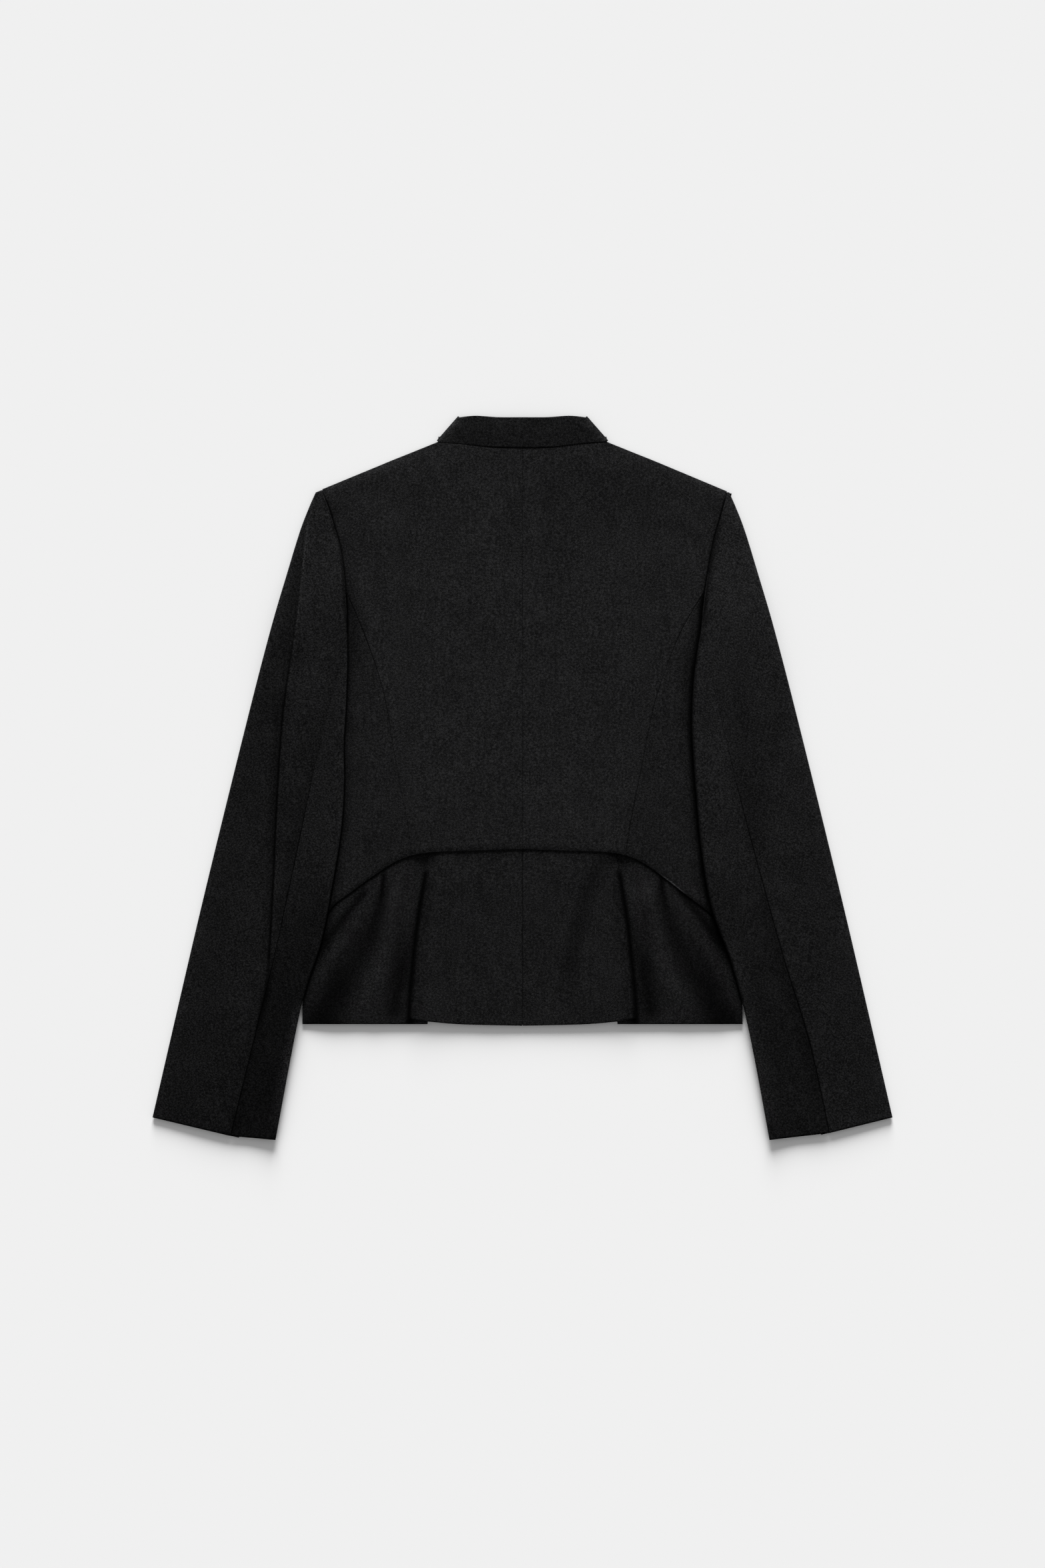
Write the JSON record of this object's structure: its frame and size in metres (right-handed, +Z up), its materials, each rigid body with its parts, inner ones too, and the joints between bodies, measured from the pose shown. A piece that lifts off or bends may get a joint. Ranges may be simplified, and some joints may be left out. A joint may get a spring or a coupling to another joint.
{
  "type": "fitted blazer",
  "caption": "Fitted blazer laid flat, back up: stand collar, princess seams, two-piece sleeves and a pleated peplum under an arched waist seam.",
  "frame": {"origin": "on the surface the garment lies on, at the middle of its outline", "axes": "+X across the garment to its wearer's right sleeve as seen from the back, +Y up to the collar, +Z up from the surface"},
  "size_m": [0.7104, 0.6948, 0.0114],
  "materials": {
    "wool_twill": "matt black wool twill with a faint sheen"
  },
  "bodies": {
    "root": {"back_left": "wool_twill", "back_right": "wool_twill", "back_side_left": "wool_twill", "back_side_right": "wool_twill", "front_left": "wool_twill", "front_right": "wool_twill", "collar": "wool_twill", "top_sleeve_left": "wool_twill", "top_sleeve_right": "wool_twill", "under_sleeve_left": "wool_twill", "under_sleeve_right": "wool_twill", "peplum_back_left": "wool_twill", "peplum_back_right": "wool_twill", "peplum_side_left": "wool_twill", "peplum_side_right": "wool_twill", "peplum_front_left": "wool_twill", "peplum_front_right": "wool_twill"}
  },
  "joints": []
}
